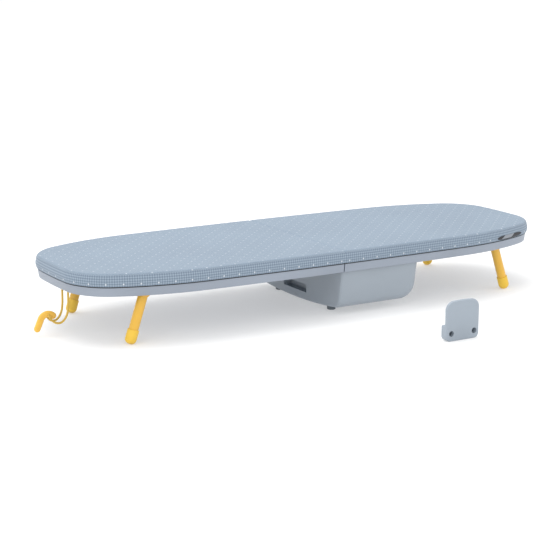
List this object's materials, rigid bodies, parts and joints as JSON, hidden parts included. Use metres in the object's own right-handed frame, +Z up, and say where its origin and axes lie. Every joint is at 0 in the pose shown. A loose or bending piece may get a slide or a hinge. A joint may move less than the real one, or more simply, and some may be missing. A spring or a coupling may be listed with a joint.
{
  "type": "folding table-top ironing board",
  "caption": "Table-top ironing board that folds in half, with a padded cover, folding legs, a pocket under one half, an elastic closing loop and a wall hook.",
  "frame": {"origin": "on the table, under the fold line, midway between the long sides of the open board", "axes": "+X along the board towards the half with the pocket, +Y across it away from the wall hook, +Z up"},
  "size_m": [0.9607, 0.5364, 0.1198],
  "materials": {
    "shell_plastic": "satin moulded plastic, blue-grey",
    "deck_board": "plain fibreboard",
    "foam": "soft foam and felt",
    "cover_fabric": "woven cotton, light blue-grey with small white dots",
    "label": "dark woven tape",
    "zinc_steel": "zinc plated",
    "leg_paint": "satin yellow coating",
    "foot_rubber": "yellow moulded rubber",
    "peg_rubber": "grey moulded rubber",
    "cord_elastic": "braided yellow elastic",
    "tab_plastic": "satin yellow moulding",
    "bearing_plastic": "moulded plastic"
  },
  "bodies": {
    "right_half": {"right_tray": "shell_plastic", "right_deck": "deck_board", "right_foam": "foam", "right_cover": "cover_fabric", "right_hinge_brackets": "zinc_steel", "right_hinge_pins": "zinc_steel", "right_bracket_screws": "zinc_steel", "right_deck_screws": "zinc_steel", "right_leg_bearings": "bearing_plastic", "pocket": "shell_plastic", "pocket_pegs": "peg_rubber", "pocket_screws": "zinc_steel", "loop_hook": "shell_plastic", "cover_label": "label"},
    "fold_links": {"near_fold_link": "zinc_steel", "far_fold_link": "zinc_steel"},
    "left_half": {"left_tray": "shell_plastic", "left_deck": "deck_board", "left_foam": "foam", "left_cover": "cover_fabric", "left_hinge_brackets": "zinc_steel", "left_hinge_pins": "zinc_steel", "left_bracket_screws": "zinc_steel", "left_deck_screws": "zinc_steel", "left_leg_bearings": "bearing_plastic", "closure_cord": "cord_elastic", "pull_tab": "tab_plastic", "cord_anchor": "shell_plastic", "anchor_screw": "zinc_steel"},
    "right_legs": {"right_pivot_rod": "leg_paint", "right_near_leg": "leg_paint", "right_far_leg": "leg_paint", "right_near_foot": "foot_rubber", "right_far_foot": "foot_rubber"},
    "left_legs": {"left_pivot_rod": "leg_paint", "left_near_leg": "leg_paint", "left_far_leg": "leg_paint", "left_near_foot": "foot_rubber", "left_far_foot": "foot_rubber"},
    "hook": {"wall_hook": "shell_plastic"}
  },
  "joints": [
    {"name": "link_fold", "type": "hinge", "parent": "right_half", "child": "fold_links", "pos_m": [0.0081, 0, 0.112], "axis": [0, 1, 0], "range_deg": [0, 90]},
    {"name": "half_fold", "type": "hinge", "parent": "fold_links", "child": "left_half", "pos_m": [-0.0081, 0, 0.112], "axis": [0, 1, 0], "range_deg": [0, 90]},
    {"name": "right_leg_fold", "type": "hinge", "parent": "right_half", "child": "right_legs", "pos_m": [0.354, 0, 0.08465], "axis": [0, 1, 0], "range_deg": [0, 105]},
    {"name": "left_leg_fold", "type": "hinge", "parent": "left_half", "child": "left_legs", "pos_m": [-0.354, 0, 0.08465], "axis": [0, -1, 0], "range_deg": [0, 105]},
    {"name": "hook_carry", "type": "slide", "parent": "right_half", "child": "hook", "axis": [0, -1, 0], "range_m": [0, 0.12]}
  ]
}
